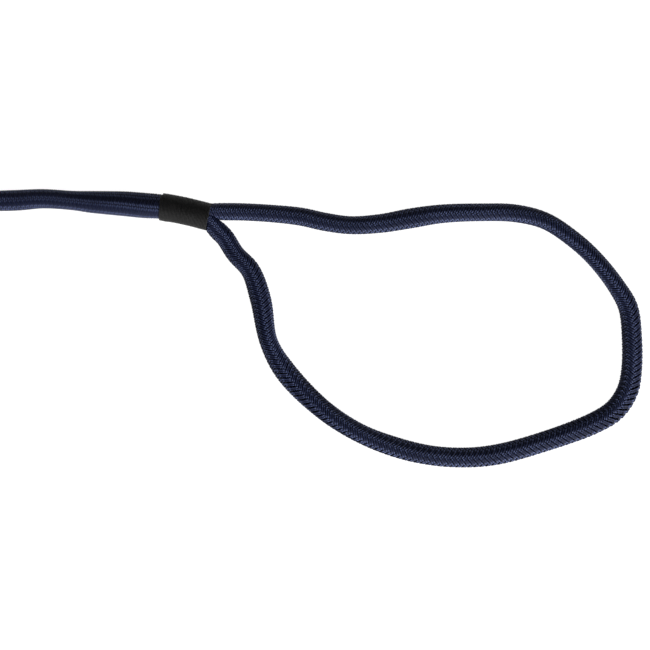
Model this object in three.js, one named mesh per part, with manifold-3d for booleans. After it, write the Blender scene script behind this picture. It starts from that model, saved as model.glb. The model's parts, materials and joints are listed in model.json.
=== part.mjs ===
// A double-braid dock line: a spliced eye whipped at its throat, the standing part
// that runs from it, and the rest of the line put away in a round coil of three flat
// layers, held by two strap ties. It lies on a flat surface at z = 0.
// Millimetres, +Z up, +X from the coil towards the eye. The origin is the middle of
// the whole line's footprint, on the surface that it lies on.
import * as THREE from 'three';
import { mergeVertices } from 'three/addons/utils/BufferGeometryUtils.js';
import Module from 'manifold-3d';

// ---- Driving dimensions ----
const ROPE = 10;                 // diameter of the line
const WALL = 1.7;                // thickness of the braided cover
const GAP = 0.3;                 // clearance between pieces that touch
const REST = ROPE / 2 + 0.05;    // height of the line's centre where it lies on the surface
const THROAT_TO_END = 4262;      // 15 ft line, less half the way round its eye
const COIL_CENTRE = [-182, -0.5];
const INNER_TURN = 43.5;         // radius of the innermost turns' centreline
const TURNS_PER_LAYER = 4;
const LAYERS = 3;
const CHANGE = Math.PI / 3;      // angle in which a turn moves over to its next place
const LEAD = 0.3 * CHANGE;       // how much sooner that happens with each half layer up
const TAIL = { length: 58, radius: 1.35, aside: 2.45, taper: -0.8 };
const CORE_ASIDE = 1.7;          // how far the buried tail pushes the core to the other side
const THROAT_WHIPPING = { from: 0.2, length: 27, outer: 7.15, inner: 6.6 };
const END_WHIPPING = { length: 15, outer: 4.75, inner: 4.3, shoulder: 2 };
const TIE = { width: 16, thick: 1.2, slack: 1.6, angles: [40, 220] };  // degrees past the coil's top

// ---- Dimensions that follow from them ----
const CORE = ROPE / 2 - WALL - GAP;                      // radius of the braided core
const BORE = ROPE / 2 - WALL;                            // radius inside the cover
const COIL_INSIDE = INNER_TURN - ROPE / 2;
const COIL_OUTSIDE = COIL_INSIDE + TURNS_PER_LAYER * ROPE;
const COIL_STEP = COIL_OUTSIDE - 2 * ROPE;               // the top layer's whole turns end here
const COIL_TOP = LAYERS * ROPE;
const NECK = 1.5;                // how far the eye's two ends are pressed in at the throat
const NECK_LENGTH = 1;
const BEFORE_JOIN = 20;          // how far the standing part's solids stop short of the coil's top

// ---- Coarseness of the plain solids ----
const EYE_STEP = 15;             // spacing of a sweep's sections
const STANDING_STEP = 9;
const SAMPLE = 5;                // spacing of the points that a stretch is drawn through
const TURN_SAMPLE = Math.PI / 18;

// ---- Routes of the line's centre, chosen by hand ----
// The eye, from the throat's upper leg round to its lower leg.
const EYE_ROUTE = [
  [20.6, 66.9, 7.2], [25.5, 66.7, 6.7], [37.5, 66.6, 5.4], [53.5, 65.7, REST], [69.5, 64, REST],
  [83.5, 61, REST], [97.5, 59.2, REST], [114.5, 60.2, REST], [131, 63, REST], [148, 65.5, REST],
  [170.5, 66.4, REST], [190, 65.8, REST], [206.7, 61.5, REST], [222.8, 50.9, REST], [234.8, 39.8, REST],
  [246.4, 25, REST], [252.9, 13.2, REST], [255, -2.5, REST], [254.8, -23, REST], [252.5, -33.7, REST],
  [245.9, -43.9, REST], [234.4, -51.3, REST], [205.8, -62, REST], [179.5, -69.2, REST], [161.5, -70.9, REST],
  [142.5, -69.7, REST], [123.1, -65.2, REST], [102, -56.9, REST], [81.5, -43.5, REST], [61.2, -22.9, REST],
  [51.7, -6.1, REST], [47.2, 17.4, REST], [41.5, 33.8, REST], [32.9, 43.3, 5.4], [27.2, 52.2, 6],
  [23.5, 56, 6.6], [20.3, 59.7, 7.2],
];
// The standing part, from the throat to where it joins the coil.
const STANDING_ROUTE = [
  [18.2, 63.7, 7.25], [4.5, 67.1, 7.25], [-9, 69.5, 7.2], [-17.5, 70.1, 6.9], [-29, 71.1, 6.5],
  [-48, 72.2, 5.7], [-58, 73, 5.3], [-74.5, 74, REST], [-90.5, 73.1, REST], [-121, 72.7, REST],
  [-182, 73, REST],
];
// How much fatter than ROPE the cover is over the splice: distance from the throat, extra radius.
const SWELL = [[0, 1.0], [28, 1.0], [37, 1.8], [56, 1.0], [75, 0]];
// How fully the core is pushed aside and pressed by the tail: distance from the throat, share.
const BURIED = [[0, 1], [50, 1], [74, 0]];

const NAVY = { color: 0x18203f, roughness: 0.75, metalness: 0 };
const CORE_WHITE = { color: 0xc9c7bd, roughness: 0.85, metalness: 0 };
const BLACK = { color: 0x141414, roughness: 0.8, metalness: 0 };

const wasm = await Module();
wasm.setup();

// ---- Curves ----

function curveThrough(points) {
  const curve = new THREE.CatmullRomCurve3(points, false, 'centripetal');
  curve.arcLengthDivisions = 2000;
  return curve;
}

function pointOn(curve, distance) {
  return curve.getPointAt(THREE.MathUtils.clamp(distance / curve.getLength(), 0, 1));
}

/** The stretch of a curve between two distances along it, moved level to one side. */
function stretch(curve, from, to, aside = () => 0) {
  const count = Math.max(2, Math.round((to - from) / SAMPLE));
  const points = [];
  for (let i = 0; i <= count; i += 1) {
    const distance = from + ((to - from) * i) / count;
    const along = curve.getTangentAt(THREE.MathUtils.clamp(distance / curve.getLength(), 0, 1));
    const side = new THREE.Vector3(-along.y, along.x, 0).normalize();
    points.push(pointOn(curve, distance).addScaledVector(side, aside(distance)));
  }
  return curveThrough(points);
}

/** Reads a table of [distance, value] rows, straight between them. */
function readOff(table, distance) {
  const after = table.findIndex(([at]) => at > distance);
  if (after === 0) return table[0][1];
  if (after < 0) return table[table.length - 1][1];
  const [[d0, v0], [d1, v1]] = [table[after - 1], table[after]];
  return v0 + ((v1 - v0) * (distance - d0)) / (d1 - d0);
}

// ---- The coil's turns ----

/** Where each turn lies: outer turn to inner in the bottom layer, back out, and in again. */
const PLACES = [];
for (let layer = 0; layer < LAYERS; layer += 1) {
  for (let turn = 0; turn < TURNS_PER_LAYER; turn += 1) {
    const outward = layer % 2 ? turn : TURNS_PER_LAYER - 1 - turn;
    PLACES.push({ layer, radius: INNER_TURN + ROPE * outward, height: ROPE * (layer + 0.5) });
  }
}

/** A point of the coil's centreline; angle 0 is the coil's top, and each turn adds 2 pi. */
function coilPoint(angle) {
  const turn = Math.floor(angle / (2 * Math.PI));
  const here = PLACES[turn];
  const next = PLACES[turn + 1] ?? here;
  const changed = 2 * Math.PI - LEAD * (here.layer + next.layer);
  const share = THREE.MathUtils.smoothstep(angle - turn * 2 * Math.PI, changed - CHANGE, changed);
  const radius = THREE.MathUtils.lerp(here.radius, next.radius, share);
  const height = THREE.MathUtils.lerp(here.height, next.height, share);
  const [x, y] = COIL_CENTRE;
  return new THREE.Vector3(x - radius * Math.sin(angle), y + radius * Math.cos(angle), height);
}

/** The angle at which a given length of line has gone into the coil. */
function coilAngleAfter(length) {
  const step = Math.PI / 180;
  let angle = 0;
  let used = 0;
  while (used < length) {
    used += coilPoint(angle).distanceTo(coilPoint(angle + step));
    angle += step;
  }
  return angle;
}

function coilCurve(from, to) {
  const count = Math.ceil((to - from) / TURN_SAMPLE);
  const points = [];
  for (let i = 0; i <= count; i += 1) points.push(coilPoint(from + ((to - from) * i) / count));
  return curveThrough(points);
}

// ---- Solids ----

function polygon(radius, sides) {
  const corners = [];
  for (let i = 0; i < sides; i += 1) {
    const angle = (2 * Math.PI * i) / sides;
    corners.push(new THREE.Vector2(radius * Math.cos(angle), radius * Math.sin(angle)));
  }
  return new THREE.Shape(corners);
}

/** A rod, or a sleeve if it has an inner radius, along a curve; fatter adds to its radius. */
function sweep(curve, { outer, inner = 0, sides = 10, step, fatter = () => 0 }) {
  const section = polygon(outer, sides);
  if (inner > 0) section.holes.push(polygon(inner, sides));
  const steps = Math.max(2, Math.round(curve.getLength() / step));
  const geometry = new THREE.ExtrudeGeometry(section, { steps, extrudePath: curve });
  const stations = curve.getSpacedPoints(steps);
  const position = geometry.attributes.position;
  const point = new THREE.Vector3();
  for (let i = 0; i < position.count; i += 1) {
    point.fromBufferAttribute(position, i);
    const distances = stations.map((station) => station.distanceTo(point));
    const nearest = distances.indexOf(Math.min(...distances));
    const grow = fatter((nearest * curve.getLength()) / steps);
    point.sub(stations[nearest]).setLength(distances[nearest] + grow).add(stations[nearest]);
    position.setXYZ(i, point.x, point.y, point.z);
  }
  return geometry;
}

/** A closed outline of [radius, height] points turned about the coil's upright axis. */
function ring(outline) {
  const points = [...outline, outline[0]].map(([radius, height]) => new THREE.Vector2(radius, height));
  const geometry = new THREE.LatheGeometry(points, 48);
  geometry.rotateX(Math.PI / 2);
  geometry.translate(...COIL_CENTRE, 0);
  return geometry;
}

function toManifold(geometry) {
  const bare = geometry.clone();
  bare.deleteAttribute('normal');
  bare.deleteAttribute('uv');
  const merged = mergeVertices(bare);
  return new wasm.Manifold(new wasm.Mesh({
    numProp: 3,
    vertProperties: merged.attributes.position.array,
    triVerts: new Uint32Array(merged.index.array),
  }));
}

/** What is left of a solid after the cutters are taken away. */
function cut(geometry, ...cutters) {
  const left = cutters.reduce((body, cutter) => body.subtract(toManifold(cutter)), toManifold(geometry));
  const mesh = left.getMesh();
  const result = new THREE.BufferGeometry();
  result.setAttribute('position', new THREE.BufferAttribute(mesh.vertProperties, 3));
  result.setIndex(new THREE.BufferAttribute(mesh.triVerts, 1));
  result.computeVertexNormals();
  return result;
}

// ---- Pieces ----

const group = new THREE.Group();

function add(name, geometry, finish) {
  const mesh = new THREE.Mesh(geometry, new THREE.MeshStandardMaterial(finish));
  mesh.name = name;
  group.add(mesh);
}

/** The eye's cover and core, pressed in where both legs enter the throat. */
function makeEye() {
  const route = curveThrough(EYE_ROUTE.map((point) => new THREE.Vector3(...point)));
  const length = route.getLength();
  const pressed = (distance) => (Math.min(distance, length - distance) < NECK_LENGTH ? -NECK : 0);
  const cover = { outer: ROPE / 2, inner: BORE, step: EYE_STEP, fatter: pressed };
  const core = { outer: CORE, sides: 8, step: EYE_STEP, fatter: pressed };
  add('eye_cover', sweep(route, cover), NAVY);
  add('eye_core', sweep(route, core), CORE_WHITE);
}

/** The coil's outer shape, grown by a clearance where it cuts what meets it. */
function coilShape(grow) {
  const [inside, outside, step] = [COIL_INSIDE - grow, COIL_OUTSIDE + grow, COIL_STEP - grow];
  const bevel = 1.5;
  return ring([
    [inside + bevel, -grow], [outside - bevel, -grow], [outside, bevel],
    [outside, COIL_TOP - bevel], [outside - bevel, COIL_TOP + grow],
    [step, COIL_TOP + grow], [step, COIL_TOP - ROPE + grow],
    [inside + bevel, COIL_TOP - ROPE + grow], [inside, COIL_TOP - ROPE - bevel], [inside, bevel],
  ]);
}

/** Cover and core from the throat to the coil, and the tail that the splice buries beside the core. */
function makeStandingPart() {
  const route = curveThrough(STANDING_ROUTE.map((point) => new THREE.Vector3(...point)));
  const coil = coilShape(GAP);
  const reach = route.getLength() - BEFORE_JOIN;
  const swell = (distance) => readOff(SWELL, distance);
  const sleeve = { outer: ROPE / 2, inner: BORE, step: STANDING_STEP, fatter: swell };
  const cover = sweep(stretch(route, 0, reach), sleeve);
  add('standing_cover', cut(cover, coil), NAVY);

  const share = (distance) => readOff(BURIED, distance);
  const coreRoute = stretch(route, 0, reach, (distance) => -CORE_ASIDE * share(distance));
  const pressed = (distance) => -share(distance);
  const core = sweep(coreRoute, { outer: CORE, sides: 8, step: STANDING_STEP, fatter: pressed });
  add('standing_core', cut(core, coil), CORE_WHITE);

  const tailRoute = stretch(route, 0, TAIL.length, () => TAIL.aside);
  const taper = (distance) => readOff([[0, 0], [TAIL.length / 2, 0], [TAIL.length, TAIL.taper]], distance);
  const tail = { outer: TAIL.radius, sides: 8, step: STANDING_STEP, fatter: taper };
  add('buried_tail', sweep(tailRoute, tail), NAVY);

  const { from, length, outer, inner } = THROAT_WHIPPING;
  const wound = stretch(route, from, from + length);
  add('throat_whipping', sweep(wound, { outer, inner, sides: 16, step: length / 2 }), BLACK);
}

/** Places a geometry drawn at radius x and height y, with its depth along z, across the coil. */
function acrossCoil(geometry, degrees) {
  geometry.rotateX(Math.PI / 2);
  geometry.rotateZ(Math.PI / 2 + THREE.MathUtils.degToRad(degrees));
  geometry.translate(...COIL_CENTRE, 0);
  return geometry;
}

/** A strap tie: a band round the coil's section, lying in a notch under it. */
function tieBand(degrees) {
  const { width, thick, slack } = TIE;
  const [inside, outside] = [COIL_INSIDE - slack, COIL_OUTSIDE + GAP];
  const top = COIL_TOP + GAP;
  // The band slants from the top layer's last run down to the inner turn of the layer below.
  const [slantTop, slantFoot] = [COIL_STEP - ROPE - 1.2, COIL_TOP - ROPE + 1];
  const corner = 0.4;            // how much of its thickness moves each of the slant's two corners
  const lap = (grow) => [
    [inside - grow, thick - grow], [outside + grow, thick - grow], [outside + grow, top + grow],
    [slantTop - corner * grow, top + grow], [inside - grow, slantFoot + corner * grow],
  ].map((point) => new THREE.Vector2(...point));
  const band = new THREE.Shape(lap(thick));
  band.holes.push(new THREE.Path(lap(0)));
  const geometry = new THREE.ExtrudeGeometry(band, { depth: width, bevelEnabled: false });
  geometry.translate(0, 0, -width / 2);
  return acrossCoil(geometry, degrees);
}

function tieNotch(degrees) {
  const depth = TIE.thick + GAP;
  const notch = new THREE.BoxGeometry(COIL_OUTSIDE - COIL_INSIDE + 2 * ROPE, 2 * depth, TIE.width + 2 * GAP);
  notch.translate((COIL_OUTSIDE + COIL_INSIDE) / 2, 0, 0);
  return acrossCoil(notch, degrees);
}

/** The coiled length, its last run on the coil's step, and the ties round both. */
function makeCoil() {
  add('coiled_line', cut(coilShape(0), ...TIE.angles.map(tieNotch)), NAVY);
  TIE.angles.forEach((degrees, i) => add(`coil_tie_${i + 1}`, tieBand(degrees), BLACK));

  const standing = curveThrough(STANDING_ROUTE.map((point) => new THREE.Vector3(...point)));
  const lastAngle = coilAngleAfter(THROAT_TO_END - standing.getLength());
  const wholeTurns = 2 * Math.PI * (2 * TURNS_PER_LAYER + 2);
  const leavesStep = wholeTurns - 4 * LEAD - CHANGE / 2;
  const run = coilCurve(leavesStep, lastAngle);
  const whippedFrom = run.getLength() - END_WHIPPING.length;
  const narrowsFrom = whippedFrom - END_WHIPPING.shoulder;
  const pressed = (distance) => (distance > narrowsFrom ? END_WHIPPING.inner - ROPE / 2 - GAP : -GAP);
  const coil = coilShape(GAP);
  const cover = sweep(run, { outer: ROPE / 2, inner: BORE, step: END_WHIPPING.length, fatter: pressed });
  add('bitter_end_cover', cut(cover, coil), NAVY);
  const core = sweep(run, { outer: CORE, sides: 8, step: END_WHIPPING.length, fatter: pressed });
  add('bitter_end_core', cut(core, coil), CORE_WHITE);
  const wound = stretch(run, whippedFrom, run.getLength());
  const { outer, inner, length } = END_WHIPPING;
  add('end_whipping', sweep(wound, { outer, inner, sides: 12, step: length / 3 }), BLACK);
}

makeEye();
makeStandingPart();
makeCoil();

export default group;
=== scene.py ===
"""A double-braid dock line in navy nylon, lying on a pale floor: a spliced eye that is whipped
at its throat, the standing part that runs from it, and the rest of the line put away in a round
coil of three flat layers, held by two strap ties. The braid is real geometry: twelve flat
carriers, laid two over and two under round every stretch of the line. Each has two yarns in the
eye and the standing part, and is plain in the coil.
Metres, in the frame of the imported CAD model: +Z up, the floor at z = 0."""
import json
import math

import bpy
import numpy as np
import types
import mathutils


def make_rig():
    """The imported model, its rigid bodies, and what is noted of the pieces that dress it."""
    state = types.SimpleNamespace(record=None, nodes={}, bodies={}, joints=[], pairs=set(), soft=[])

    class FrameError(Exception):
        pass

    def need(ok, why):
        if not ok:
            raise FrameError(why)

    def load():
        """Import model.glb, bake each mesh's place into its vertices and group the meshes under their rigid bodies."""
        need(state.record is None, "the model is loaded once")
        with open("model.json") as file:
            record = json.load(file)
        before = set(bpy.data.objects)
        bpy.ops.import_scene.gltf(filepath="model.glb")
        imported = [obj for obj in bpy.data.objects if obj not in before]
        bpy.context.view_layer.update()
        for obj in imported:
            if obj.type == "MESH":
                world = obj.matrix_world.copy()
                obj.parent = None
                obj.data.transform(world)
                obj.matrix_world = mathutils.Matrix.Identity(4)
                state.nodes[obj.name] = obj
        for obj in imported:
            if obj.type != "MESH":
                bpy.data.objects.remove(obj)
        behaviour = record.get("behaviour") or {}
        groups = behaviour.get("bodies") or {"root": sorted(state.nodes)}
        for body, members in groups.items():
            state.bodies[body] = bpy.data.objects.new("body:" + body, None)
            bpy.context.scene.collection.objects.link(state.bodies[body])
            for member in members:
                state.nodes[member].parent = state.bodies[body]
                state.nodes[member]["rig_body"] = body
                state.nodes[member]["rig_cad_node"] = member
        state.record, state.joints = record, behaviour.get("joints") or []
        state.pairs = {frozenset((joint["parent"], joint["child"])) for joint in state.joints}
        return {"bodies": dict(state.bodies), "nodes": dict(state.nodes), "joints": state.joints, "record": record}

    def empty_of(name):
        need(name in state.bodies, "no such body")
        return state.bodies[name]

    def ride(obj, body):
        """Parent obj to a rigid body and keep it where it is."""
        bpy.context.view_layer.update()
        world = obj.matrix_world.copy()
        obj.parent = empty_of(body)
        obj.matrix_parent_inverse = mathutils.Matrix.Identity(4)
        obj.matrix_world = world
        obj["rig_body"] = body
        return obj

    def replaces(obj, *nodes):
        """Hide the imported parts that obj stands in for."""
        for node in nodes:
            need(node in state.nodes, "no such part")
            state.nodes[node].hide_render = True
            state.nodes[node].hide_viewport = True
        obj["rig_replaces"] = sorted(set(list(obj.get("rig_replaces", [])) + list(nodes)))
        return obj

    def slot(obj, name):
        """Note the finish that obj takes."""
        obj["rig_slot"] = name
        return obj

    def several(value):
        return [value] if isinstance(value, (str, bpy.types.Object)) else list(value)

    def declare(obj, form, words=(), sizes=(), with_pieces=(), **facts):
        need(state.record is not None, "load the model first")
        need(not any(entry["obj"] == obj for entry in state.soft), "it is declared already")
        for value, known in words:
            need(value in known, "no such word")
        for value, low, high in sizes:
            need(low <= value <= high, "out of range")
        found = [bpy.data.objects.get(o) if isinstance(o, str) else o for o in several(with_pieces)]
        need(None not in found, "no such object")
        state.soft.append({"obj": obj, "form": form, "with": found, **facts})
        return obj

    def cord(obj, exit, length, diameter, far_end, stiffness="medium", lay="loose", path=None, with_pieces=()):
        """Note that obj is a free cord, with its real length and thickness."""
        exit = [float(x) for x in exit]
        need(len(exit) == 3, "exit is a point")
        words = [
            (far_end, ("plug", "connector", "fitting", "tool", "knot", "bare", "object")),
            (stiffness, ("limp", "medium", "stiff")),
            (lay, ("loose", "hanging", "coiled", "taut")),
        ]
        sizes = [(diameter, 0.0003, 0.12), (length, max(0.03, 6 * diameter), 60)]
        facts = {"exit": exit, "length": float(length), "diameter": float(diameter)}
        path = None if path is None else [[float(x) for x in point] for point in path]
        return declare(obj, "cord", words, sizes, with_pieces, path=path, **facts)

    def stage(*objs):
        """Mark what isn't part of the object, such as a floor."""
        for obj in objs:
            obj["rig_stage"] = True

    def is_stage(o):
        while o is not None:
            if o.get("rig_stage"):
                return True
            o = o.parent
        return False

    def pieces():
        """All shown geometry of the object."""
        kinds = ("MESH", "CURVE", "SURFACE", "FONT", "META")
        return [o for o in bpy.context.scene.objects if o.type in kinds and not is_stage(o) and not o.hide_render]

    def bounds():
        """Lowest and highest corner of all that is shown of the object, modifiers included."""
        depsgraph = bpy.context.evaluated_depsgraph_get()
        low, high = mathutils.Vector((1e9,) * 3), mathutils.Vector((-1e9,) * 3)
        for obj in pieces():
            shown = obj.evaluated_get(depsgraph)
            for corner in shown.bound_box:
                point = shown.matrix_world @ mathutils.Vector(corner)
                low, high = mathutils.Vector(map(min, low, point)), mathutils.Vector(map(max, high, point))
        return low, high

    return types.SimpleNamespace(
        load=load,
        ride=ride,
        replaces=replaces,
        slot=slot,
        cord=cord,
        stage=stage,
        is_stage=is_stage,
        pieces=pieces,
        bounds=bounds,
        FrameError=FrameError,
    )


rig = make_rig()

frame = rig.load()
cad_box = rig.bounds()

TAU = 2 * math.pi
DEGREES = 360                 # in a turn
MM = 0.001

# ---- The line ----
ROPE = 0.010                  # diameter
REST = 0.00505                # height of the line's centre where it lies on the floor
CLEAR = REST - ROPE / 2       # what stays free between the line and the floor
THROAT_TO_END = 4.262         # from the throat to the bitter end
CARRIERS = 12                 # strands in the cover, half of them laid each way
THICK = 0.0008                # thickness of a carrier
RISE = 0.00022                # how far a carrier's middle moves out and in
SQUARE = 1.1                  # how quickly it changes between over and under
COLUMN = math.radians(120)    # where round the line one column of floats lies
FILLS = 0.98                  # how much of its room a carrier fills across
LINING = 0.84                 # how far out the lining behind the carriers lies, as a share of the outline; it is all painted shade
LINING_SIDES = 10
LINING_EVERY = 3              # the carriers' steps between two of the lining's sections
EYE_STEPS = 25                # sections of a carrier in one turn round the line
STANDING_STEPS = 28
COIL_STEPS = 22
LAY_STEP = 0.0005             # spacing of the tables of lay and roll
CORE_STEP = 0.003             # spacing of a core's sections
CORE_SHARE = 0.62             # what the core fills of the line's outline, as a share
HALF_SECTION = (ROPE / 2) ** 2  # a pressed line keeps this product of half width and half height

# Routes of the line's centre: x, y, z, and the line's width seen from above.
# The eye, from the throat's upper leg round to its lower leg.
EYE_ROUTE = [
    (0.0206, 0.0669, 0.0072, 0.0090), (0.0255, 0.0667, 0.0067, 0.0098),
    (0.0375, 0.0666, 0.0054, 0.0099), (0.0535, 0.0657, REST, 0.0100),
    (0.0695, 0.0640, REST, 0.0104), (0.0835, 0.0610, REST, 0.0105),
    (0.0975, 0.0592, REST, 0.0103), (0.1145, 0.0602, REST, 0.0108),
    (0.1310, 0.0630, REST, 0.0115), (0.1480, 0.0655, REST, 0.0107),
    (0.1705, 0.0664, REST, 0.0101), (0.1900, 0.0658, REST, 0.0102),
    (0.2067, 0.0615, REST, 0.0099), (0.2228, 0.0509, REST, 0.0097),
    (0.2348, 0.0398, REST, 0.0096), (0.2464, 0.0250, REST, 0.0102),
    (0.2529, 0.0132, REST, 0.0113), (0.2550, -0.0025, REST, 0.0117),
    (0.2548, -0.0230, REST, 0.0121), (0.2525, -0.0337, REST, 0.0127),
    (0.2459, -0.0439, REST, 0.0129), (0.2344, -0.0513, REST, 0.0126),
    (0.2058, -0.0620, REST, 0.0117), (0.1795, -0.0692, REST, 0.0118),
    (0.1615, -0.0709, REST, 0.0114), (0.1425, -0.0697, REST, 0.0113),
    (0.1231, -0.0652, REST, 0.0116), (0.1020, -0.0569, REST, 0.0110),
    (0.0815, -0.0435, REST, 0.0118), (0.0612, -0.0229, REST, 0.0126),
    (0.0517, -0.0061, REST, 0.0105), (0.0472, 0.0174, REST, 0.0122),
    (0.0415, 0.0338, REST, 0.0112), (0.0329, 0.0433, 0.0054, 0.0107),
    (0.0272, 0.0522, 0.0060, 0.0108), (0.0235, 0.0560, 0.0066, 0.0110),
    (0.0203, 0.0597, 0.0072, 0.0104),
]
# The standing part, from the throat to where it joins the coil.
STANDING_ROUTE = [
    (0.0182, 0.0637, 0.0073, 0.0132), (0.0045, 0.0671, 0.0073, 0.0134),
    (-0.0090, 0.0695, 0.0072, 0.0140), (-0.0175, 0.0701, 0.0069, 0.0145),
    (-0.0290, 0.0711, 0.0065, 0.0142), (-0.0480, 0.0722, 0.0057, 0.0125),
    (-0.0580, 0.0730, 0.0053, 0.0111), (-0.0745, 0.0740, REST, 0.0111),
    (-0.0905, 0.0731, REST, 0.0119), (-0.1210, 0.0727, REST, 0.0108),
    (-0.1820, 0.0730, REST, 0.0108),
]

# How the braid was laid: distances from the throat, and the length in which a carrier goes once round.
EYE_LAYS = ([0, 0.02, 0.14, 0.20, 0.34, 0.46, 0.54, 0.58, 0.61],
            [0.0150, 0.0174, 0.0174, 0.0184, 0.0193, 0.0193, 0.0174, 0.0161, 0.0125])
LINE_LAYS = ([0.03, 0.06, 0.10, 0.16], [0.0117, 0.0127, 0.0140, 0.0180])
# How far the eye, and then the rest of the line, had rolled over as it was laid down: distances
# from the throat, and degrees.
EYE_ROLLS = ([0.05, 0.15, 0.27, 0.33, 0.38, 0.44, 0.49, 0.53], [-6, 6, -75, -75, -62, -57, -30, 10])
LINE_ROLLS = ([0.03, 0.10], [-76, -58])

LEG_ASIDE = 0.0037            # from the whipping's middle to each leg's
LEG_ROOM = 0.0070             # radius inside the whipping
LEG_HELD = 0.0022             # how far inside the whipping it holds a leg fully
LEG_SPREAD = 0.8              # how quickly a leg gets free of the whipping's wall
LEG_PARTING = 0.25            # and how quickly of the other leg
LEAST_INWARD = 0.01           # keeps the way to the other leg finite at angles that don't point to it
INSIDE_WHIPPING = 0.0050      # how far the eye's legs go in under the whipping
UNDER_WHIPPING = 0.002        # where the standing part's cover and core start, from the throat

# ---- The coil ----
COIL_CENTRE = (-0.182, -0.0005)
INNER_TURN = 0.0435           # radius of the innermost turns' centreline
TURNS_PER_LAYER = 4
LAYERS = 3
CHANGE = math.pi / 3          # angle in which a turn moves over to its next place
LEAD = 0.3 * CHANGE           # how much sooner that happens with each half layer up
TIE_ANGLES = (math.radians(40), math.radians(220))  # past the coil's top
TIE_WIDTH = 0.016
TIE_THICK = 0.0012
TIE_LIFT = 1.15 * TIE_THICK   # how far a strap would lift a line at floor height; none above the coil
TIE_FADE = 2 * ROPE           # from a strap's edge to where the line lies flat again


# ---- Curves ----

def smooth_curve(points, per_span=24):
    """A centripetal Catmull-Rom curve through points, as a fine polyline."""
    points = np.array(points, float)
    ends = 2 * points[[0, -1]] - points[[1, -2]]
    all_points = np.vstack([ends[:1], points, ends[1:]])
    share = np.linspace(0, 1, per_span, endpoint=False)[:, None]
    spans = []
    for p0, p1, p2, p3 in zip(all_points, all_points[1:], all_points[2:], all_points[3:]):
        d0, d1, d2 = (np.linalg.norm((b - a)[:3]) ** 0.5 for a, b in ((p0, p1), (p1, p2), (p2, p3)))
        leave = ((p1 - p0) / d0 - (p2 - p0) / (d0 + d1) + (p2 - p1) / d1) * d1
        arrive = ((p2 - p1) / d1 - (p3 - p1) / (d1 + d2) + (p3 - p2) / d2) * d1
        spans.append(
            p1 + leave * share + (3 * (p2 - p1) - 2 * leave - arrive) * share**2
            + (2 * (p1 - p2) + leave + arrive) * share**3
        )
    return np.vstack([*spans, points[-1:]])


def unit(vectors):
    return vectors / np.linalg.norm(vectors, axis=-1, keepdims=True)


class Path:
    """A polyline that is read by the distance along it: where it is, its level side and its up.
    Its rows are x, y and z and, where the line's width changes, that width."""

    def __init__(self, rows, starts_at=0.0):
        rows = np.asarray(rows, float)
        steps = np.linalg.norm(np.diff(rows[:, :3], axis=0), axis=1)
        self.rows = rows
        self.at = starts_at + np.concatenate([[0], np.cumsum(steps)])
        self.start = self.at[0]
        self.end = self.at[-1]

    def spots(self, distances):
        """Points on the path, and straight on from its ends past them."""
        inside = np.stack([np.interp(distances, self.at, column) for column in self.rows[:, :3].T], 1)
        first = unit(self.rows[1, :3] - self.rows[0, :3])
        last = unit(self.rows[-1, :3] - self.rows[-2, :3])
        before = np.minimum(distances - self.start, 0)[:, None]
        after = np.maximum(distances - self.end, 0)[:, None]
        return inside + before * first + after * last

    def widths(self, distances):
        return np.interp(distances, self.at, self.rows[:, 3])

    def frames(self, distances):
        """Spots, and the level side to the left of travel and the up at each."""
        spots = self.spots(distances)
        near = ROPE / 5
        along = unit(self.spots(distances + near) - self.spots(distances - near))
        side = unit(np.stack([-along[:, 1], along[:, 0], np.zeros(len(along))], 1))
        return spots, side, np.cross(along, side)

    def between(self, start, end, step=0.004):
        """Points of the stretch from start to end, about a step apart."""
        return self.spots(np.linspace(start, end, max(2, round((end - start) / step) + 1)))


def smoothstep(value):
    share = np.clip(value, 0, 1)
    return share * share * (3 - 2 * share)


def layer_height(layer):
    """Height of the line's centre in a layer, before the ties lift it."""
    return ROPE * (layer + 0.5)


def coil_places():
    """Radius and height of each turn: outer turn to inner, back out, and in again."""
    places = []
    for layer in range(LAYERS):
        for turn in range(TURNS_PER_LAYER):
            outward = turn if layer % 2 else TURNS_PER_LAYER - 1 - turn
            places.append((layer, INNER_TURN + ROPE * outward, layer_height(layer)))
    return places


def over_ties(radius, height, angle):
    """How far the line is lifted where it lies over the ties' straps."""
    lift = 0.0
    for tie in TIE_ANGLES:
        turned = (angle - tie + math.pi) % TAU - math.pi
        beyond = abs(turned) * radius - TIE_WIDTH / 2
        lift = max(lift, float(smoothstep(1 - beyond / TIE_FADE)))
    return TIE_LIFT * lift * (1 - height / (LAYERS * ROPE + ROPE / 2))


def coil_point(angle, places):
    """A point of the coil's centreline; angle 0 is its top, and each turn adds a full circle."""
    turn = min(int(angle // TAU), len(places) - 1)
    here = places[turn]
    after = places[min(turn + 1, len(places) - 1)]
    changed = TAU - LEAD * (here[0] + after[0])
    share = float(smoothstep((angle - turn * TAU - changed + CHANGE) / CHANGE))
    radius = here[1] + (after[1] - here[1]) * share
    height = here[2] + (after[2] - here[2]) * share
    x = COIL_CENTRE[0] - radius * math.sin(angle)
    y = COIL_CENTRE[1] + radius * math.cos(angle)
    return x, y, height + over_ties(radius, height, angle)


def coil_rows(length):
    """The coil's centreline, a point a degree, until the length is used, and where layers end."""
    places = coil_places()
    rows = [coil_point(0.0, places)]
    used = 0.0
    layer_ends = []
    while used < length:
        angle = len(rows) * TAU / DEGREES
        rows.append(coil_point(angle, places))
        used += math.dist(rows[-1], rows[-2])
        if (len(rows) - 1) % (DEGREES * TURNS_PER_LAYER) == 0:
            layer_ends.append(used)
    return rows, layer_ends


# ---- Meshes ----

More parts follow.
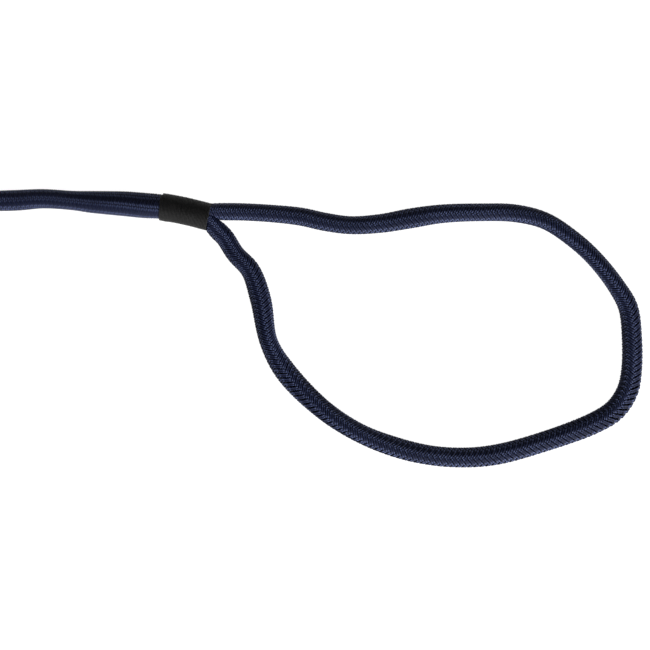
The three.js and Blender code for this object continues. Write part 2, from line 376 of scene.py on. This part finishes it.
class Sweeps:
    """Collects sections swept along lines, which become one mesh of closed strands."""

    def __init__(self):
        self.points = []
        self.faces = []
        self.uvs = []
        self.marks = {"tone": [], "crown": [], "over": [], "way": []}
        self.count = 0

    def add(self, centres, outward, section, **marks):
        """Sweeps a section of (across, out) points, one for all or one for each centre.
        A mark is one value for all, one for each centre or, in rows, one for each point."""
        along = unit(np.gradient(centres, axis=0))
        across = unit(np.cross(along, outward))
        out = np.cross(across, along)
        section = np.broadcast_to(section, (len(centres), *np.shape(section)[-2:]))
        ring = section.shape[1]
        points = centres[:, None] + section[..., :1] * across[:, None] + section[..., 1:] * out[:, None]
        steps = np.linalg.norm(np.diff(centres, axis=0), axis=1)
        travelled = np.concatenate([[0], np.cumsum(steps)]) / MM

        i, j = np.meshgrid(np.arange(len(centres) - 1), np.arange(ring), indexing="ij")
        corners = [(i, j), (i, j + 1), (i + 1, j + 1), (i + 1, j)]
        quads = np.stack([self.count + a * ring + b % ring for a, b in corners], -1).reshape(-1, 4)
        uv = np.stack([np.stack([travelled[a], b / ring], -1) for a, b in corners], -2)
        first = self.count + np.arange(ring)
        last = first + (len(centres) - 1) * ring
        self.faces += [*quads.tolist(), first[::-1].tolist(), last.tolist()]
        self.uvs += [uv.reshape(-1, 2), np.zeros((2 * ring, 2))]
        self.points.append(points.reshape(-1, 3))
        for label, values in self.marks.items():
            values.append(np.broadcast_to(marks.get(label, 0.0), (len(centres), ring)).ravel())
        self.count += len(centres) * ring

    def make(self, name, material, slot, *replaced):
        """The collected sweeps as one piece, in place of the CAD nodes that it stands for."""
        mesh = bpy.data.meshes.new(name)
        mesh.from_pydata(np.concatenate(self.points), [], self.faces)
        mesh.uv_layers.new(name="Strand").data.foreach_set("uv", np.concatenate(self.uvs).ravel())
        for label, values in self.marks.items():
            layer = mesh.attributes.new(label, "FLOAT", "POINT")
            layer.data.foreach_set("value", np.concatenate(values))
        mesh.shade_smooth()
        mesh.materials.append(material)
        piece = bpy.data.objects.new(name, mesh)
        bpy.context.scene.collection.objects.link(piece)
        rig.ride(piece, "root")
        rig.slot(piece, slot)
        if replaced:
            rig.replaces(piece, *replaced)
        return piece


def circle(radius, sides):
    angles = -np.arange(sides) * TAU / sides
    return np.stack([radius * np.cos(angles), radius * np.sin(angles)], 1)


# A carrier's section, as shares of its half width and half thickness: two yarns side by side.
CARRIER = np.array([
    (-1, 0), (-0.7, 0.9), (-0.34, 0.95), (0, 0.15), (0.34, 0.95), (0.7, 0.9), (1, 0),
    (0.5, -0.9), (-0.5, -0.9),
])
# The same, plainer, for the turns put away in the coil.
PLAIN_CARRIER = np.array([(-1, 0), (0, 0.95), (1, 0), (0, -0.75)])


# ---- The braid ----

def oval(angles, half_width, half_height):
    """Distance from the middle to an oval, at angles from its level side."""
    return 1 / np.hypot(np.cos(angles) / half_width, np.sin(angles) / half_height)


def squeezed(angles, reach, free):
    """A leg's outline by the whipping: no further than the other leg, nor than the whipping's wall."""
    inward = np.maximum(-np.cos(angles), LEAST_INWARD)
    room = LEG_ROOM + LEG_SPREAD * free
    wall = np.sqrt(room**2 - (LEG_ASIDE * np.sin(angles)) ** 2) - LEG_ASIDE * np.cos(angles)
    return np.minimum(reach, np.minimum(wall, (LEG_ASIDE + LEG_PARTING * free) / inward))


def eye_outline(path):
    def outline(angles, distances):
        half_width = path.widths(distances) / 2
        height = path.spots(distances)[:, 2]
        half_height = np.minimum(HALF_SECTION / half_width, height - CLEAR)
        reach = oval(angles, half_width, half_height)
        from_throat = np.minimum(distances - path.start, path.end - distances)
        return squeezed(angles, reach, np.maximum(from_throat + LEG_HELD, 0))
    return outline


# The splice holds the tail beside the core, which draws a crease along the cover:
# distance from the throat, and the crease's depth as a share of the radius.
CREASE = ([0.024, 0.032, 0.060, 0.085], [0.0, 0.10, 0.08, 0.0])
CREASE_ANGLES = (math.radians(115), math.radians(245))
CREASE_WIDTH = math.radians(17)


def standing_outline(path):
    def outline(angles, distances):
        half_width = path.widths(distances) / 2
        height = path.spots(distances)[:, 2]
        half_height = np.minimum(height - CLEAR, np.maximum(half_width, ROPE / 2))
        depth = np.interp(distances, *CREASE)
        groove = np.zeros(len(distances))
        for crease in CREASE_ANGLES:
            turned = (angles - crease + math.pi) % TAU - math.pi
            groove += depth * np.exp(-((turned / CREASE_WIDTH) ** 2))
        return oval(angles, half_width, half_height) * (1 - groove)
    return outline


def coil_outline(path):
    """A round line, drawn in under the whipping at its bitter end."""
    narrows = [path.end - END_WHIPPING - ROPE, path.end - END_WHIPPING]

    def outline(angles, distances):
        return np.interp(distances, narrows, [ROPE / 2, END_RADIUS])
    return outline


class Braid:
    """How the carriers turn along a stretch: tables of their lay and of the line's own roll."""

    def __init__(self, start, end, lays, rolls):
        self.grid = np.linspace(start, end, round((end - start) / LAY_STEP))
        self.turned = np.zeros(len(self.grid))
        lay = np.interp(self.grid, *lays)
        self.turned[1:] = np.cumsum(TAU * np.diff(self.grid) / lay[1:])
        self.rolls = rolls

    def cover(self, path, outline, start, end, per_lay, section, seed):
        """The carriers of the cover between two distances along a path."""
        first, last = np.interp([start, end], self.grid, self.turned)
        steps = round((last - first) / TAU * per_lay)
        phase = np.linspace(first, last, steps + 1)
        distances = np.interp(phase, self.turned, self.grid)
        spots, side, up = path.frames(distances)
        slope = np.gradient(phase, distances)
        roll = np.radians(np.interp(distances, *self.rolls))
        draw = np.random.default_rng(seed)
        sweeps = Sweeps()
        sparse = slice(None, None, LINING_EVERY)
        lining = tube_section(outline, distances[sparse], LINING, LINING_SIDES)
        # The lining has no crown and lies wholly under, so it takes only the painted shade colour: a dark sheet behind
        # the gaps.
        sweeps.add(spots[sparse], up[sparse], lining, tone=0.5, over=-1)
        each_way = CARRIERS // 2
        for carrier in range(CARRIERS):
            way = 1 if carrier % 2 else -1
            place = (carrier // 2 + 0.5 * (way > 0)) * TAU / each_way
            angles = place + way * phase + roll
            # Two over and two under: a swing spans four of the CARRIERS crossings in a turn.
            swing = np.cos(CARRIERS / 4 * (angles - roll - COLUMN))
            over = way * np.tanh(SQUARE * swing) / math.tanh(SQUARE)
            radius = outline(angles % TAU, distances) - THICK / 2 - RISE * (1 - over)
            outward = np.cos(angles)[:, None] * side + np.sin(angles)[:, None] * up
            room = TAU * radius / each_way / np.hypot(1, radius * slope)
            shape = section * np.stack([FILLS * room / 2, np.full(len(room), THICK / 2)], 1)[:, None]
            # crown and over steer the navy material's painted shade and painted highlight.
            marks = {"crown": section[:, 1].clip(0), "over": (way * swing)[:, None], "way": way}
            sweeps.add(spots + radius[:, None] * outward, outward, shape, tone=draw.random(), **marks)
        return sweeps


def tube_section(outline, distances, share, sides):
    """Sections that fill a share of an outline at each distance."""
    angles = -np.arange(sides) * TAU / sides
    reach = share * np.stack([outline(np.full(len(distances), a % TAU), distances) for a in angles], 1)
    return np.stack([reach * np.cos(angles), reach * np.sin(angles)], -1)


def rod(path, outline, start, end, share, sides=20):
    """A plain core inside a cover, filling a share of its outline."""
    distances = np.linspace(start, end, max(2, round((end - start) / CORE_STEP)))
    spots, _, up = path.frames(distances)
    sweeps = Sweeps()
    sweeps.add(spots, up, tube_section(outline, distances, share, sides))
    return sweeps


# ---- Twine and straps ----

TWINE = 0.0008                # diameter of the whipping twine
TWINE_PITCH = 0.96            # from one turn to the next, in diameters: the turns press together
TWINE_UNEVEN = 0.035          # how much a turn wanders, in diameters
TWINE_STEPS = 40              # in a turn
TWINE_SIDES = 7
TWINE_STANDS = 0.75           # how far it stands out of the line at the bitter end, in diameters
THROAT_RADII = (0.0078, 0.0071)  # the throat whipping's half width and half height
THROAT_WHIPPING = (-0.0004, 0.0276)  # where it starts and ends along the standing part
LUMP = 0.0005                 # height of the lump over the twine's tucked tail
LUMP_AT = 0.0235              # its place along the standing part
LUMP_LENGTH = 0.0025
LUMP_ANGLE = math.radians(-25)  # its place round the line
LUMP_SPREAD = 0.35
END_WHIPPING = 0.015          # length of the whipping at the bitter end
END_RADIUS = 0.0043           # of the line under it
TIP_DOME = 0.0018             # how far the melted tip stands out past the whipping
TIP_REACH = math.radians(88.2)  # how far its rings climb towards the dome's top
TIP_BLUNT = 0.6               # 1 would make the dome an ellipse, and less makes it blunter
TIP_RINGS = 14
TIP_SIDES = 24
STRAP_CORDS = 9               # a strap's lengthwise cords
STEPS_PER_CORD = 4            # points across each
CORD_DEPTH = 0.22             # how deep the grooves between them are, as a share of the strap
STRAP_LAP = 0.016             # how far a strap's end reaches over its start
STRAP_CLIMB = 0.006           # in how much length it climbs on to it
STRAP_LAPPED = 1.05 * TIE_THICK  # and how high
STRAP_STEP = 0.0008           # spacing of a strap's sections
STRAP_TURN = 5                # degrees between two points where it turns round a corner
STRAP_END = 0.7               # how square its ends are cut, up to 1
SELVEDGE = 12                 # how abruptly its section closes at its two edges


def whipping(path, start, end, radius_at, seed):
    """Turns of twine wound side by side round a path, a little unevenly."""
    pitch = TWINE_PITCH * TWINE
    turns = (end - start - TWINE) / pitch
    share = np.linspace(0, 1, round(turns * TWINE_STEPS))
    draw = np.random.default_rng(seed)
    knots = np.linspace(0, 1, round(turns) * 2)
    uneven = np.interp(share, knots, draw.normal(0, TWINE_UNEVEN * TWINE, len(knots)))
    distances = start + TWINE / 2 + share * turns * pitch + uneven
    angles = share * turns * TAU
    spots, side, up = path.frames(distances)
    radius = radius_at(angles % TAU, distances) - TWINE / 2 + uneven
    outward = np.cos(angles)[:, None] * side + np.sin(angles)[:, None] * up
    sweeps = Sweeps()
    section = circle(TWINE / 2, TWINE_SIDES)
    sweeps.add(spots + radius[:, None] * outward, outward, section, tone=draw.random())
    return sweeps


def throat_radius(angles, distances):
    """The throat whipping's outside: an oval round both legs, with a lump where its tail is tucked in."""
    turned = (angles - LUMP_ANGLE + math.pi) % TAU - math.pi
    lump = np.exp(-((turned / LUMP_SPREAD) ** 2) - ((distances - LUMP_AT) / LUMP_LENGTH) ** 2)
    return oval(angles, *THROAT_RADII) + LUMP * lump


def end_radius(angles, distances):
    return np.full(len(distances), END_RADIUS + TWINE_STANDS * TWINE)


def melted_tip(path):
    """The bitter end's yarns, melted together into a low dome."""
    climbed = np.linspace(0, TIP_REACH, TIP_RINGS)
    height = TIP_DOME + TWINE
    spots, _, up = path.frames(path.end - height + height * np.sin(climbed))
    sweeps = Sweeps()
    sweeps.add(spots, up, np.cos(climbed)[:, None, None] ** TIP_BLUNT * circle(END_RADIUS, TIP_SIDES))
    return sweeps


def strap_round_turns():
    """A closed line, as radius and height, round the coil's section at a tie."""
    outermost = INNER_TURN + ROPE * (TURNS_PER_LAYER - 1)
    last_run = INNER_TURN + ROPE  # where the top layer stops, short of its innermost turn
    bottom, middle, top = (layer_height(layer) for layer in range(LAYERS))
    corners = [
        (outermost, bottom), (outermost, top), (last_run, top), (INNER_TURN, middle), (INNER_TURN, bottom)
    ]
    turns = np.array([(r, height + over_ties(r, height, TIE_ANGLES[0])) for r, height in corners])
    faces = np.radians(np.arange(90, 90 + DEGREES + 1, STRAP_TURN))
    outward = np.stack([np.cos(faces), np.sin(faces)], 1)
    touched = np.argmax(outward @ turns.T, axis=1)
    line = turns[touched] + (ROPE + TIE_THICK) / 2 * outward
    return np.vstack([line, line[:1]])


def strap_section():
    """A strap's section: lengthwise cords side by side between two rounded selvedges."""
    across = np.linspace(-1, 1, STEPS_PER_CORD * STRAP_CORDS + 1)
    cords = 1 - CORD_DEPTH * (1 - np.cos(STRAP_CORDS * math.pi * (across + 1))) / 2
    closing = np.sqrt(1 - across**SELVEDGE)
    upper = np.stack([TIE_WIDTH / 2 * across, TIE_THICK / 2 * cords * closing], 1)
    return np.vstack([upper, upper[-2:0:-1] * (1, -1)])


def strap_tie(angle):
    """A strap round the coil that closes on itself, its end lapped over its start."""
    line = strap_round_turns()
    steps = np.linalg.norm(np.diff(line, axis=0), axis=1)
    at = np.concatenate([[0], np.cumsum(steps)])
    distances = np.arange(0, at[-1] + STRAP_LAP, STRAP_STEP)
    flat = np.stack([np.interp(distances % at[-1], at, column) for column in line.T], 1)
    ahead, level = unit(np.gradient(flat, axis=0)).T
    outward = np.stack([level, -ahead], 1)
    lifted = smoothstep((distances - at[-1] + STRAP_CLIMB) / STRAP_CLIMB)
    flat = flat + STRAP_LAPPED * lifted[:, None] * outward
    away = np.array([-math.sin(angle), math.cos(angle), 0])
    centres = np.array([*COIL_CENTRE, 0]) + flat[:, :1] * away + flat[:, 1:] * (0, 0, 1)
    outward = outward[:, :1] * away + outward[:, 1:] * (0, 0, 1)
    from_ends = np.minimum(distances, distances[-1] - distances)
    rounded = smoothstep(STRAP_END + from_ends / STRAP_CLIMB)
    section = strap_section() * np.stack([rounded, np.ones(len(rounded))], 1)[:, None]
    sweeps = Sweeps()
    sweeps.add(centres, outward, section)
    return sweeps


# ---- Materials ----

TWIST = 0.30                  # spacing of the yarns' twisted filaments, in millimetres
FILAMENT = math.radians(51)   # angle between a carrier and its filaments
CARRIER_GIRTH = 3.3           # length of the way round a carrier's section, in millimetres
# How many of those spacings lie in a whole turn round the carrier's section.
TWIST_ACROSS = CARRIER_GIRTH * math.cos(FILAMENT) / TWIST

NOISE_ROUGHNESS = 0.55

# Linear colours.
NAVY_PAINTED_SHADE = (0.0014, 0.0022, 0.0085)  # painted shade: between the carriers, in the valley between a carrier's two yarns and where it dives under
NAVY_DEEP = (0.0037, 0.0058, 0.022)
NAVY = (0.0064, 0.0101, 0.036)
NAVY_FIBRE = (0.014, 0.0215, 0.075)
NAVY_PAINTED_HIGHLIGHT = (0.092, 0.118, 0.250)  # painted highlight at the ends of the floats
MELTED_DARK = (0.0030, 0.0042, 0.013)
MELTED = (0.0065, 0.0090, 0.026)
UNDYED_SHADE = (0.33, 0.33, 0.30)
UNDYED = (0.52, 0.51, 0.47)
TWINE_BLACK = (0.0054, 0.0054, 0.0058)
TWINE_FIBRE = (0.0140, 0.0138, 0.0142)
TWINE_RUBBED = (0.024, 0.0235, 0.023)
WEBBING_BLACK = (0.0050, 0.0050, 0.0054)
WEBBING_LOOP = (0.017, 0.017, 0.0175)
WEBBING_WORN = (0.030, 0.030, 0.031)
WHITE = (1, 1, 1, 1)


class Nodes:
    """A material's node tree, with short calls for the nodes that the finishes use."""

    def __init__(self, name, **plain):
        self.material = bpy.data.materials.new(name)
        self.material.use_nodes = True
        self.tree = self.material.node_tree
        self.shader = self.tree.nodes["Principled BSDF"]
        for label, value in plain.items():
            self.shader.inputs[label.replace("_", " ")].default_value = value

    def node(self, kind, inputs=(), **settings):
        node = self.tree.nodes.new(kind)
        for label, value in settings.items():
            setattr(node, label, value)
        for label, value in dict(inputs).items():
            if isinstance(value, bpy.types.NodeSocket):
                self.tree.links.new(value, node.inputs[label])
            else:
                node.inputs[label].default_value = value
        return node

    def math(self, operation, a, b=0.0):
        return self.node("ShaderNodeMath", {0: a, 1: b}, operation=operation).outputs[0]

    def attribute(self, name):
        return self.node("ShaderNodeAttribute", attribute_name=name).outputs["Fac"]

    def strand(self, along, across):
        """The strand's own coordinates, scaled along it, in millimetres, and round it."""
        uv = self.node("ShaderNodeUVMap", uv_map="Strand").outputs["UV"]
        scale = {"Vector": uv, "Scale": (along, across, 1)}
        return self.node("ShaderNodeMapping", scale).outputs[0]

    def noise(self, vector, scale, detail=3.0):
        values = {"Vector": vector, "Scale": scale, "Detail": detail, "Roughness": NOISE_ROUGHNESS}
        return self.node("ShaderNodeTexNoise", values).outputs["Fac"]

    def place(self):
        return self.node("ShaderNodeTexCoord").outputs["Object"]

    def spread(self, value, low, high, to_low=0.0, to_high=1.0):
        values = {"Value": value, "From Min": low, "From Max": high, "To Min": to_low, "To Max": to_high}
        return self.node("ShaderNodeMapRange", values).outputs["Result"]

    def mix(self, share, one, other):
        """A colour between two; this node's colour sockets are its inputs 6 and 7 and its output 2."""
        node = self.node("ShaderNodeMix", {0: share}, data_type="RGBA")
        for socket, value in ((node.inputs[6], one), (node.inputs[7], other)):
            if isinstance(value, bpy.types.NodeSocket):
                self.tree.links.new(value, socket)
            else:
                socket.default_value = (*value, 1)
        return node.outputs[2]

    def ply(self, twist, slant=4.0):
        """Ridges a twist of millimetres apart, slanting by that many of them round the strand."""
        uv = self.node("ShaderNodeUVMap", uv_map="Strand").outputs["UV"]
        split = self.node("ShaderNodeSeparateXYZ", {0: uv})
        turns = self.math("ADD", self.math("MULTIPLY", split.outputs[0], 1 / twist),
                          self.math("MULTIPLY", split.outputs[1], slant))
        return self.math("SINE", self.math("MULTIPLY", turns, TAU))

    def finish(self, colour, roughness, height, deep):
        """Colour, roughness and bump, driven by the nodes that were made, with the bump's depth."""
        links = self.tree.links
        links.new(colour, self.shader.inputs["Base Color"])
        links.new(roughness, self.shader.inputs["Roughness"])
        bump = self.node("ShaderNodeBump", {"Height": height, "Distance": deep, "Strength": 1.0})
        links.new(bump.outputs[0], self.shader.inputs["Normal"])
        return self.material


def navy_nylon():
    """The cover's dyed nylon: yarns twisted so that their filaments lie along the line, a painted highlight at
    both ends of each float, painted shade between and under the carriers, and slow changes of dye."""
    n = Nodes("navy_nylon", Sheen_Weight=0.02, Sheen_Roughness=0.45, Sheen_Tint=(0.55, 0.62, 0.9, 1),
              Specular_IOR_Level=0.15)
    fibre = n.noise(n.strand(along=0.45, across=22), scale=1.0, detail=4.0)
    dye = n.noise(n.place(), scale=55.0)
    tone = n.math("ADD", n.math("MULTIPLY", n.attribute("tone"), 0.45), n.math("MULTIPLY", dye, 0.7))
    dark = n.mix(n.spread(tone, 0.25, 0.85), NAVY_DEEP, NAVY)
    fibres = n.mix(n.spread(fibre, 0.35, 0.7), dark, NAVY_FIBRE)
    over = n.attribute("over")  # from -1, a carrier's lowest place, to 1, the middle of a float
    # Painted highlight: pale at both ends of each float, stronger where the dye noise is high.
    emerged = n.spread(over, 0.05, 0.3)
    float_end = n.math("MULTIPLY", emerged, n.spread(over, 0.45, 0.75, to_low=1.0, to_high=0.0))
    painted_highlight_share = n.math("MULTIPLY", float_end, n.spread(dye, 0.3, 0.7, to_low=0.5))
    navy_with_painted_highlight = n.mix(n.math("MULTIPLY", painted_highlight_share, 0.85), fibres, NAVY_PAINTED_HIGHLIGHT)
    # Painted shade: the yarns' valleys, the carriers' edges and the parts where they dive under take the dark gap
    # colour.
    crown = n.attribute("crown")
    open_to_light = n.math("MULTIPLY", crown, n.spread(over, -0.3, 0.2))
    lit = n.spread(open_to_light, 0.3, 0.9)
    colour = n.mix(lit, NAVY_PAINTED_SHADE, navy_with_painted_highlight)
    roughness = n.spread(fibre, 0.3, 0.75, to_low=0.52, to_high=0.66)
    twisted = n.ply(TWIST / math.sin(FILAMENT), n.math("MULTIPLY", n.attribute("way"), TWIST_ACROSS))
    height = n.math("ADD", n.math("MULTIPLY", twisted, 0.3), fibre)
    return n.finish(colour, roughness, height, deep=0.00006)


def braided_core():
    """The undyed core: a finer, softer weave, drawn by two crossing sets of ridges."""
    n = Nodes("undyed_core", Sheen_Weight=0.2, Sheen_Roughness=0.5)
    fibre = n.noise(n.strand(along=0.6, across=30), scale=1.0)
    weave = n.math("MULTIPLY", n.ply(twist=2.2), n.ply(twist=-2.2))
    colour = n.mix(n.spread(fibre, 0.3, 0.75), UNDYED_SHADE, UNDYED)
    roughness = n.spread(fibre, 0.3, 0.75, to_low=0.6, to_high=0.8)
    return n.finish(colour, roughness, n.math("ADD", weave, fibre), deep=0.0001)


def black_twine():
    """Waxed whipping twine: near black, matte, with plied fibres and paler rubbed ridges."""
    n = Nodes("waxed_twine", Sheen_Weight=0.02, Sheen_Roughness=0.5, Specular_IOR_Level=0.2)
    fibre = n.noise(n.strand(along=0.5, across=14), scale=1.0, detail=4.0)
    wax = n.noise(n.place(), scale=160.0)
    base = n.mix(n.spread(fibre, 0.35, 0.7), TWINE_BLACK, TWINE_FIBRE)
    colour = n.mix(n.math("MULTIPLY", n.spread(wax, 0.5, 0.8), 0.5), base, TWINE_RUBBED)
    roughness = n.spread(wax, 0.3, 0.7, to_low=0.5, to_high=0.72)
    height = n.math("ADD", n.math("MULTIPLY", n.ply(twist=0.9), 0.5), fibre)
    return n.finish(colour, roughness, height, deep=0.00006)


def melted_nylon():
    """The cover's nylon where it was melted: smooth, darker and half glossy."""
    n = Nodes("melted_nylon")
    flow = n.noise(n.place(), scale=700.0)
    colour = n.mix(n.spread(flow, 0.3, 0.7), MELTED_DARK, MELTED)
    roughness = n.spread(flow, 0.3, 0.7, to_low=0.22, to_high=0.40)
    return n.finish(colour, roughness, flow, deep=0.0002)


def tie_webbing():
    """The ties' black webbing: a soft pile of loops over close weft ribs."""
    n = Nodes("tie_webbing", Sheen_Weight=0.12, Sheen_Roughness=0.5, Specular_IOR_Level=0.25)
    loops = n.noise(n.place(), scale=2200.0, detail=2.0)
    worn = n.noise(n.place(), scale=120.0)
    base = n.mix(n.spread(loops, 0.35, 0.65), WEBBING_BLACK, WEBBING_LOOP)
    colour = n.mix(n.math("MULTIPLY", n.spread(worn, 0.5, 0.8), 0.4), base, WEBBING_WORN)
    roughness = n.spread(loops, 0.3, 0.7, to_low=0.65, to_high=0.85)
    height = n.math("ADD", n.math("MULTIPLY", n.ply(twist=0.8, slant=0.0), 0.5), loops)
    return n.finish(colour, roughness, height, deep=0.00012)


# ---- Stage ----

CAMERA_LENS = 100.0
CAMERA_SENSOR = 36.0
VIEW_WIDTH = 0.364            # what the view takes in across, at the line's height
VIEW_CENTRE = (0.0832, 0.0033)
LIGHT_TARGET = (0.08, 0.0, 0.0)
CEILING = 0.13                # brightness of the studio above, beside its white walls
WALL_TOP = 0.12               # height where the walls begin to dim, as the sine of its elevation
CEILING_EDGE = 0.25           # and where the ceiling begins
KEY_AZIMUTH = math.radians(-58)  # the side it stands on, from +X
KEY_ELEVATION = math.radians(20)
KEY_DISTANCE = 1.3
KEY_SIZE = (1.1, 0.4)
KEY_POWER = 31.0
FLOOR_REACH = 40.0            # to each side


def add_camera():
    """Straight above the eye, looking down, with the line leaving the view to the left."""
    camera = bpy.data.objects.new("camera", bpy.data.cameras.new("camera"))
    camera.data.lens = CAMERA_LENS
    camera.data.sensor_width = CAMERA_SENSOR
    camera.location = (*VIEW_CENTRE, REST + VIEW_WIDTH * CAMERA_LENS / CAMERA_SENSOR)
    bpy.context.scene.collection.objects.link(camera)
    bpy.context.scene.camera = camera


def add_key():
    """A low soft light from the lower right that faces the line."""
    lamp = bpy.data.objects.new("key", bpy.data.lights.new("key", "AREA"))
    lamp.data.shape = "RECTANGLE"
    lamp.data.size, lamp.data.size_y = KEY_SIZE
    lamp.data.energy = KEY_POWER
    level = math.cos(KEY_ELEVATION)
    towards = np.array([
        level * math.cos(KEY_AZIMUTH), level * math.sin(KEY_AZIMUTH), math.sin(KEY_ELEVATION)
    ])
    lamp.location = np.array(LIGHT_TARGET) + KEY_DISTANCE * towards
    lamp.rotation_euler = (math.pi / 2 - KEY_ELEVATION, 0, KEY_AZIMUTH + math.pi / 2)
    lamp.visible_camera = False
    bpy.context.scene.collection.objects.link(lamp)


def add_floor():
    """A plain white sheet, lit through from below, so that the line throws no shadow on it."""
    n = Nodes("pale_floor", Base_Color=(0.2, 0.2, 0.2, 1), Roughness=1.0, Specular_IOR_Level=0.0,
              Emission_Color=WHITE, Emission_Strength=1.0)
    mesh = bpy.data.meshes.new("floor")
    corners = [(x * FLOOR_REACH, y * FLOOR_REACH, 0) for x, y in ((-1, -1), (1, -1), (1, 1), (-1, 1))]
    mesh.from_pydata(corners, [], [(0, 1, 2, 3)])
    mesh.materials.append(n.material)
    floor = bpy.data.objects.new("floor", mesh)
    bpy.context.scene.collection.objects.link(floor)
    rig.stage(floor)


def add_studio():
    """Pale walls round a dim ceiling, and colours shown as they are."""
    world = bpy.data.worlds.new("studio")
    world.use_nodes = True
    tree = world.node_tree
    place = tree.nodes.new("ShaderNodeTexCoord")
    split = tree.nodes.new("ShaderNodeSeparateXYZ")
    walls = tree.nodes.new("ShaderNodeMapRange")
    walls.inputs["From Min"].default_value = WALL_TOP
    walls.inputs["From Max"].default_value = CEILING_EDGE
    walls.inputs["To Min"].default_value = 1.0
    walls.inputs["To Max"].default_value = CEILING
    tree.links.new(place.outputs["Generated"], split.inputs[0])
    tree.links.new(split.outputs["Z"], walls.inputs["Value"])
    tree.links.new(walls.outputs["Result"], tree.nodes["Background"].inputs["Strength"])
    tree.nodes["Background"].inputs["Color"].default_value = WHITE
    bpy.context.scene.world = world
    bpy.context.scene.view_settings.view_transform = "Standard"


# ---- The whole line ----

add_camera()
navy = navy_nylon()
core = braided_core()
twine = black_twine()
webbing = tie_webbing()
melted = melted_nylon()

eye = Path(smooth_curve(EYE_ROUTE))
standing = Path(smooth_curve(STANDING_ROUTE))
rows, layer_ends = coil_rows(THROAT_TO_END - standing.end)
coil = Path(rows, standing.end)

eye_braid = Braid(-INSIDE_WHIPPING, eye.end + INSIDE_WHIPPING, EYE_LAYS, EYE_ROLLS)
line_braid = Braid(0, coil.end, LINE_LAYS, LINE_ROLLS)

eye_piece = eye_braid.cover(
    eye, eye_outline(eye), -INSIDE_WHIPPING, eye.end + INSIDE_WHIPPING, EYE_STEPS, CARRIER, seed=11
).make("eye_braid", navy, "navy_cover", "eye_cover")
standing_piece = line_braid.cover(
    standing, standing_outline(standing), UNDER_WHIPPING, standing.end, STANDING_STEPS, CARRIER, seed=12
).make("standing_braid", navy, "navy_cover", "standing_cover")

wound_to = coil.end - TIP_DOME  # where the cover and its whipping end, behind the melted tip
edges = [coil.start, *(coil.start + end for end in layer_ends), coil.end]
coil_names = ("coil_bottom_layer", "coil_middle_layer", "coil_top_layer")
coil_nodes = (("coiled_line",), ("coiled_line",), ("coiled_line", "bitter_end_cover"))
coil_pieces = []
for layer, (name, nodes) in enumerate(zip(coil_names, coil_nodes)):
    start, end = edges[layer], min(edges[layer + 1], wound_to)
    coil_pieces.append(line_braid.cover(
        coil, coil_outline(coil), start, end, COIL_STEPS, PLAIN_CARRIER, seed=20 + layer
    ).make(name, navy, "navy_cover", *nodes))

eye_core = rod(eye, eye_outline(eye), 0, eye.end, CORE_SHARE).make(
    "eye_core_rod", core, "braided_core", "eye_core")
standing_core = rod(standing, standing_outline(standing), UNDER_WHIPPING, standing.end, CORE_SHARE).make(
    "standing_core_rod", core, "braided_core", "standing_core", "buried_tail")
coil_core = rod(coil, coil_outline(coil), coil.start, coil.end - END_WHIPPING, CORE_SHARE, sides=10).make(
    "coil_core_rod", core, "braided_core", "bitter_end_core")

throat = whipping(standing, *THROAT_WHIPPING, throat_radius, seed=31).make(
    "throat_whipping_twine", twine, "black_twine", "throat_whipping")
end_wound = whipping(coil, wound_to - END_WHIPPING, wound_to, end_radius, seed=32).make(
    "end_whipping_twine", twine, "black_twine", "end_whipping")
tip = melted_tip(coil).make("melted_tip", melted, "navy_cover")
for number, angle in enumerate(TIE_ANGLES, 1):
    strap_tie(angle).make(f"strap_tie_{number}", webbing, "tie_webbing", f"coil_tie_{number}")

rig.cord(eye_piece, exit=eye.spots(np.array([0.0]))[0], length=eye.end, diameter=ROPE,
        far_end="object", stiffness="medium", lay="loose", path=eye.between(0, eye.end),
        with_pieces=[eye_core, throat])
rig.cord(standing_piece, exit=standing.spots(np.array([0.0]))[0], length=standing.end, diameter=ROPE,
        far_end="object", stiffness="medium", lay="loose", path=standing.between(0, standing.end),
        with_pieces=[standing_core, throat])
for piece, start, end, far in zip(coil_pieces, edges, edges[1:], ("object", "object", "bare")):
    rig.cord(piece, exit=coil.spots(np.array([start]))[0], length=end - start, diameter=ROPE,
            far_end=far, stiffness="medium", lay="coiled", path=coil.between(start, end),
            with_pieces=[coil_core] + ([end_wound, tip] if far == "bare" else []))

add_floor()
add_studio()
add_key()

visual_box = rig.bounds()
with open("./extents.json", "w") as out:
    json.dump({name: [list(corner) for corner in box]
               for name, box in (("cad", cad_box), ("visual", visual_box))}, out)
